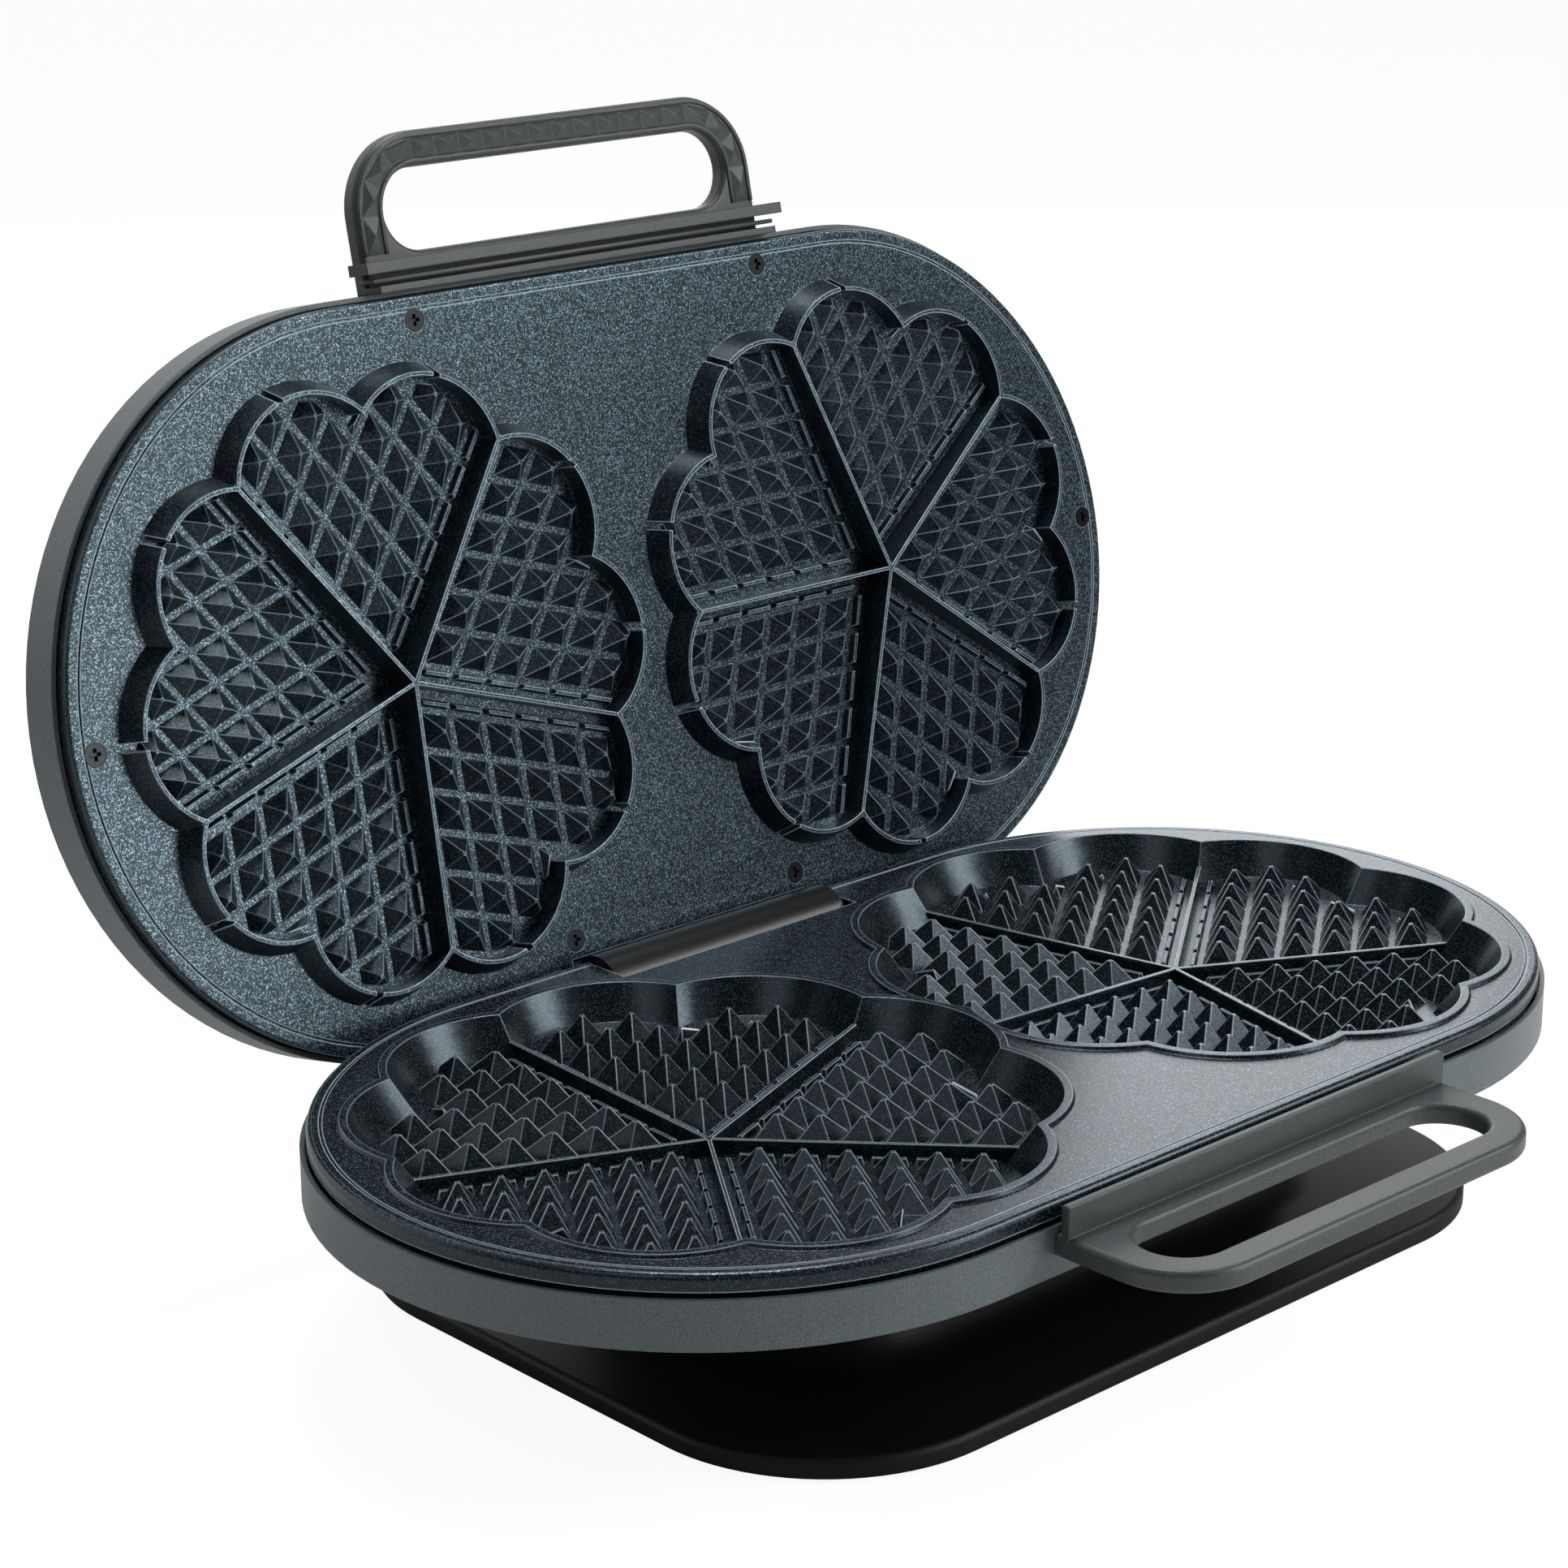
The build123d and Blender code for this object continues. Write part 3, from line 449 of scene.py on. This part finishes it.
def nonstick(name, front, ground, fleck, fleck_size, share, tilt, roughness):
    """Sprayed coating: glossy black film with metal flakes that lie at slightly different angles."""
    material, tree, surface, coords, edges = new_material(name, roughness, film_edge)
    flakes = add_node(tree, "ShaderNodeTexVoronoi", {"Scale": 1 / fleck_size},
                      {"Vector": (coords, "Object")})
    centred = add_node(tree, "ShaderNodeVectorMath", {"operation": "SUBTRACT", 1: (0.5, 0.5, 0.5)},
                       {0: (flakes, "Color")})
    lean = add_node(tree, "ShaderNodeVectorMath", {"operation": "SCALE", "Scale": tilt},
                    {0: (centred, "Vector")})
    leaning = add_node(tree, "ShaderNodeVectorMath", {"operation": "ADD"},
                       {0: (lean, "Vector"), 1: (edges, "Normal")})
    facing = add_node(tree, "ShaderNodeVectorMath", {"operation": "NORMALIZE"},
                      {0: (leaning, "Vector")})
    tree.links.new(facing.outputs["Vector"], surface.inputs["Normal"])

    # A share of the flakes is bright, and slopes get fewer bright flakes and a darker colour, a painted
    # shade that keeps pyramids and walls darker
    pick = add_node(tree, "ShaderNodeSeparateColor", None, {"Color": (flakes, "Color")})
    picked = add_node(tree, "ShaderNodeMapRange",
                      {"From Min": 1 - share, "From Max": 1.0, "To Max": fleck_stop},
                      {"Value": (pick, "Green")})
    slope = add_node(tree, "ShaderNodeVectorMath", {"operation": "DOT_PRODUCT", 1: front},
                     {0: (coords, "Normal")})
    slope_shade = add_node(tree, "ShaderNodeMapRange",
                       {"From Min": slope_shade_fade[0], "From Max": slope_shade_fade[1], "To Min": slope_shade_share},
                       {"Value": (slope, "Value")})
    bright = add_node(tree, "ShaderNodeMath", {"operation": "MULTIPLY"},
                      {0: (picked, "Result"), 1: (slope_shade, "Result")})
    tree.links.new(bright.outputs["Value"], surface.inputs["Metallic"])

    # Ridges and rims, which little of the piece lies behind, get thin painted highlight lines in a
    # lighter colour
    behind = add_node(tree, "ShaderNodeAmbientOcclusion",
                      {"samples": edge_samples, "inside": True, "only_local": True,
                       "Distance": ridge_highlight_width})
    ridge_highlight = add_node(tree, "ShaderNodeMapRange",
                     {"From Min": ridge_highlight_fade[0], "From Max": ridge_highlight_fade[1]}, {"Value": (behind, "AO")})
    light = add_node(tree, "ShaderNodeMath", {"operation": "MAXIMUM"},
                     {0: (bright, "Value"), 1: (ridge_highlight, "Result")})
    tint = add_node(tree, "ShaderNodeValToRGB", None, {"Fac": (light, "Value")})
    tint.color_ramp.elements[0].color = linear(ground)
    tint.color_ramp.elements[1].color = linear(ridge_highlight_colour)
    tint.color_ramp.elements.new(fleck_stop).color = linear(fleck)
    tree.links.new(tint.outputs["Color"], surface.inputs["Base Color"])
    surface.inputs["Specular Tint"].default_value = linear(film_tint)
    return material


def moulding(name, colours, grain, roughness, bump, edge_round=mould_edge, shine=0.5):
    """Moulded plastic with a fine spark-eroded grain, which breaks up its shine."""
    material, tree, surface, coords, edges = new_material(name, roughness, edge_round)
    texture = add_node(tree, "ShaderNodeTexNoise",
                       {"Scale": 1 / grain, "Detail": 4.0, "Roughness": 0.7},
                       {"Vector": (coords, "Object")})
    tint = add_node(tree, "ShaderNodeValToRGB", None, {"Fac": (texture, "Fac")})
    for stop, position, colour in zip(tint.color_ramp.elements, mould_stops, colours):
        stop.position = position
        stop.color = linear(colour)
    tree.links.new(tint.outputs["Color"], surface.inputs["Base Color"])
    height = add_node(tree, "ShaderNodeBump", {"Strength": bump, "Distance": mould_depth},
                      {"Height": (texture, "Fac"), "Normal": (edges, "Normal")})
    tree.links.new(height.outputs["Normal"], surface.inputs["Normal"])
    surface.inputs["Specular IOR Level"].default_value = shine
    return material


def plain_metal(name, colour, roughness):
    """Drawn or rolled metal with faint streaks in its shine."""
    material, tree, surface, coords, edges = new_material(name, roughness, metal_edge)
    streak = add_node(tree, "ShaderNodeTexNoise", {"Scale": 1 / metal_streak, "Detail": 2.0},
                      {"Vector": (coords, "Object")})
    spread = add_node(tree, "ShaderNodeMapRange",
                      {"To Min": roughness * (1 - metal_spread),
                       "To Max": roughness * (1 + metal_spread)}, {"Value": (streak, "Fac")})
    tree.links.new(spread.outputs["Result"], surface.inputs["Roughness"])
    tree.links.new(edges.outputs["Normal"], surface.inputs["Normal"])
    surface.inputs["Base Color"].default_value = linear(colour)
    surface.inputs["Metallic"].default_value = 1.0
    return material


slot_materials = {
    # Blue-black film on the lid's plate, with a dense silver glitter that the lamps wake up
    "upper_nonstick": nonstick("blue_black_nonstick", lid_out, ground="#060c11", fleck="#869fad",
                               fleck_size=0.34 * mm, share=0.34, tilt=0.06, roughness=0.28),
    # The same film on the lower plate, seen at a low angle: blacker, with a soft grey sheen
    "lower_nonstick": nonstick("black_nonstick", lower_out, ground="#090e12", fleck="#8598a3",
                               fleck_size=0.3 * mm, share=0.2, tilt=0.05, roughness=0.26),
    # Casing bands: even mid grey with a matt grain
    "grey_casing": moulding("grey_moulded_casing", ("#3f484b", "#6e797d"), grain=0.4 * mm,
                            roughness=0.42, bump=0.8),
    # Handles and dial: darker grey, with soft light along their rounded edges
    "grey_handle": moulding("grey_moulded_handle", ("#2a2f31", "#4d5355"), grain=0.4 * mm,
                            roughness=0.42, bump=0.8, edge_round=0.8 * mm),
    # Foot: nearly black and dull, with a faint line of light along its edge
    "black_base": moulding("black_moulded_foot", ("#050607", "#0d0e0f"), grain=0.4 * mm,
                           roughness=0.5, bump=0.2, edge_round=0.9 * mm, shine=0.3),
    # Rubber of the feet and the gland: black without shine
    "foot_rubber": moulding("black_rubber", ("#101010", "#1a1a1a"), grain=0.3 * mm,
                            roughness=0.8, bump=0.3),
    # Terminal block and thermostat body: pale, dull resin
    "white_block": moulding("cream_phenolic", ("#b9b2a0", "#c8c2b2"), grain=0.5 * mm,
                            roughness=0.5, bump=0.2),
    # Lamp lenses: glossy dark red
    "lamp_lens": moulding("red_lens", ("#8e1410", "#a81a14"), grain=0.6 * mm, roughness=0.15, bump=0.0),
    # Screws: bright where hidden, black with a glint on the lid's plate
    "steel_screw": plain_metal("zinc_plated_steel", "#a8a8a6", roughness=0.35),
    "dark_screw": plain_metal("black_nickel_steel", "#2c2f31", roughness=0.3),
    # Hinge pins and the dial's shaft: clean steel
    "steel_pin": plain_metal("drawn_steel", "#b4b4b2", roughness=0.3),
    # Heater tubes: brown-grey from heat
    "heater_tube": plain_metal("oxidised_sheath", "#6e6860", roughness=0.5),
    # Heat shields and thermal fuse: pale sheet with a satin shine
    "shield_sheet": plain_metal("mill_finish_aluminium", "#c9cacc", roughness=0.35),
}

# Hinge barrel: black and smoother than the casing that it is moulded with
barrel_plastic = moulding("black_satin_hinge_barrel", ("#08090a", "#101213"), grain=0.4 * mm,
                          roughness=0.36, bump=0.2)


# Pieces

for node in ("upper_cooking_plate", "lower_cooking_plate", "upper_housing", "lower_housing",
             "upper_handle", "lower_handle", "base"):
    smoothed(node)

upper_hearts = heart_places(lid_frame, 1, 0, 0)
lower_hearts = heart_places(lower_frame, -1, floor_z, floor_slope)
upper_bars = divider_bars(fence_centre_r, upper_rim_arc)
upper_studs = cut_studs(fence_centre_r, upper_rim_arc, 0, upper_stud_height)
lower_studs = cut_studs(cavity_centre_r, lower_rim_arc, fence_play, lower_stud_height)
lower_bars = divider_bars(cavity_centre_r, lower_rim_arc)
new_piece("upper_divider_bars", copied(upper_bars, upper_hearts), lid, "upper_nonstick")
new_piece("upper_cut_studs", copied(upper_studs, upper_hearts), lid, "upper_nonstick")
new_piece("lower_cut_studs", copied(lower_studs, lower_hearts), lower, "lower_nonstick")
new_piece("lower_divider_bars", copied(lower_bars, lower_hearts), lower, "lower_nonstick")
new_piece("handle_seal_strip", seal_strip(), lid, "grey_handle")
new_piece("handle_facets", grip_facets(), lid, "grey_handle", limit=facet_limit)
new_piece("handle_rims", grip_rims(), lid, "grey_handle", limit=rim_limit)

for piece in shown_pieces():
    slot = node_slots[piece["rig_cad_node"]] if "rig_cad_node" in piece else piece["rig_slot"]
    piece.data.materials.clear()
    piece.data.materials.append(slot_materials[slot])

casing = bpy.data.objects["upper_housing_smooth"]
casing.data.materials.append(barrel_plastic)
for face in casing.data.polygons:
    off_axis = Vector((face.center.y - hinge_y, face.center.z - hinge_z))
    if abs(face.center.x) < barrel_half and off_axis.length < barrel_reach:
        face.material_index = 1


# Studio

# Paper floor, and how the surround goes from the dark room in front to the white backdrop behind
paper = "#f0f0f0"
paper_roughness = 0.9
paper_size = 6
paper_glow = 1.16
paper_glow_share = 0.8
white = "#ffffff"
room_fade = (0.2, 0.55)
room_level = (0.05, 1.0)
fill_share = 0.7

# Softboxes: place, the point that they face, width and height, and power in watts
softboxes = {
    # Sheen and glitter across the open lid's plate
    "lid_softbox": ((0.6, -1.3, 0.3), (-0.15, 0.13, 0.18), (0.4, 0.6), 4.5),
    # Main light on the casing bands and the handles
    "front_softbox": ((0.95, -1.05, 1.0), (0, 0, 0.1), (0.8, 0.6), 15),
    # Light on the lower plate's pyramids and the shadow under the foot
    "top_softbox": ((0.25, 0.3, 1.5), (0, 0, 0.1), (0.5, 0.5), 12),
    # Faint fill on the left ends of the casings
    "left_softbox": ((-1.0, -0.35, 1.1), (0, 0, 0.1), (0.6, 0.6), 1.5),
    # Grey sheen on the flat of the lower plate's right front
    "rear_softbox": ((1.35, 1.3, 0.72), (0.05, -0.1, 0.08), (1.0, 0.8), 5.2),
}


def area_light(name, place, aim, size, power):
    """A softbox that faces a point."""
    lamp = bpy.data.lights.new(name, "AREA")
    lamp.shape = "RECTANGLE"
    lamp.size, lamp.size_y = size
    lamp.energy = power
    light = bpy.data.objects.new(name, lamp)
    light.location = place
    light.rotation_mode = "QUATERNION"
    light.rotation_quaternion = (Vector(aim) - Vector(place)).to_track_quat("-Z", "Y")
    bpy.context.scene.collection.objects.link(light)


def paper_floor():
    """White paper, which the camera sees partly glowing and still with the object's shadow."""
    work = bmesh.new()
    bmesh.ops.create_grid(work, x_segments=1, y_segments=1, size=paper_size)
    mesh = bpy.data.meshes.new("floor")
    work.to_mesh(mesh)
    work.free()
    floor = bpy.data.objects.new("floor", mesh)
    bpy.context.scene.collection.objects.link(floor)
    material = bpy.data.materials.new("white_paper")
    material.use_nodes = True
    tree = material.node_tree
    surface = tree.nodes["Principled BSDF"]
    surface.inputs["Base Color"].default_value = linear(paper)
    surface.inputs["Roughness"].default_value = paper_roughness
    path = tree.nodes.new("ShaderNodeLightPath")
    glow = add_node(tree, "ShaderNodeEmission", {"Color": linear(white), "Strength": paper_glow})
    share = add_node(tree, "ShaderNodeMath", {"operation": "MULTIPLY", 1: paper_glow_share},
                     {0: (path, "Is Camera Ray")})
    blend = add_node(tree, "ShaderNodeMixShader", None,
                     {0: (share, "Value"), 1: (surface, "BSDF"), 2: (glow, "Emission")})
    tree.links.new(blend.outputs["Shader"], tree.nodes["Material Output"].inputs["Surface"])
    mesh.materials.append(material)


def surround():
    """White backdrop behind the object and a dark room in front of it, white to the camera."""
    world = bpy.data.worlds.new("studio")
    bpy.context.scene.world = world
    world.use_nodes = True
    tree = world.node_tree
    sky = tree.nodes["Background"]
    path = tree.nodes.new("ShaderNodeLightPath")
    seen = add_node(tree, "ShaderNodeMath", {"operation": "MAXIMUM"},
                    {0: (path, "Is Camera Ray"), 1: (path, "Is Transmission Ray")})
    coords = tree.nodes.new("ShaderNodeTexCoord")
    axes = add_node(tree, "ShaderNodeSeparateXYZ", None, {"Vector": (coords, "Generated")})
    backdrop = add_node(tree, "ShaderNodeMapRange",
                        {"From Min": room_fade[0], "From Max": room_fade[1],
                         "To Min": room_level[0], "To Max": room_level[1]}, {"Value": (axes, "Y")})
    shine = add_node(tree, "ShaderNodeMath", {"operation": "MULTIPLY"},
                     {0: (backdrop, "Result"), 1: (path, "Is Glossy Ray")})
    fill = add_node(tree, "ShaderNodeMath", {"operation": "MULTIPLY", 1: fill_share},
                    {0: (backdrop, "Result")})
    room = add_node(tree, "ShaderNodeMath", {"operation": "MAXIMUM"},
                    {0: (shine, "Value"), 1: (fill, "Value")})
    level = add_node(tree, "ShaderNodeMath", {"operation": "MAXIMUM"},
                     {0: (room, "Value"), 1: (seen, "Value")})
    tree.links.new(level.outputs["Value"], sky.inputs["Strength"])
    sky.inputs["Color"].default_value = linear(white)


def camera():
    """The photograph's camera."""
    data = bpy.data.cameras.new("camera")
    data.sensor_width = camera_sensor
    data.lens = camera_lens
    data.clip_end = camera_far
    holder = bpy.data.objects.new("camera", data)
    turn = Matrix.Rotation(camera_turn, 4, "Z") @ Matrix.Rotation(pi / 2 - camera_drop, 4, "X")
    turn = turn @ Matrix.Rotation(camera_roll, 4, "Z")
    holder.matrix_world = Matrix.Translation(camera_place) @ turn
    bpy.context.scene.collection.objects.link(holder)
    bpy.context.scene.camera = holder


paper_floor()
surround()
for name, (place, aim, size, power) in softboxes.items():
    area_light(name, place, aim, size, power)
camera()
bpy.context.scene.view_settings.view_transform = "Standard"
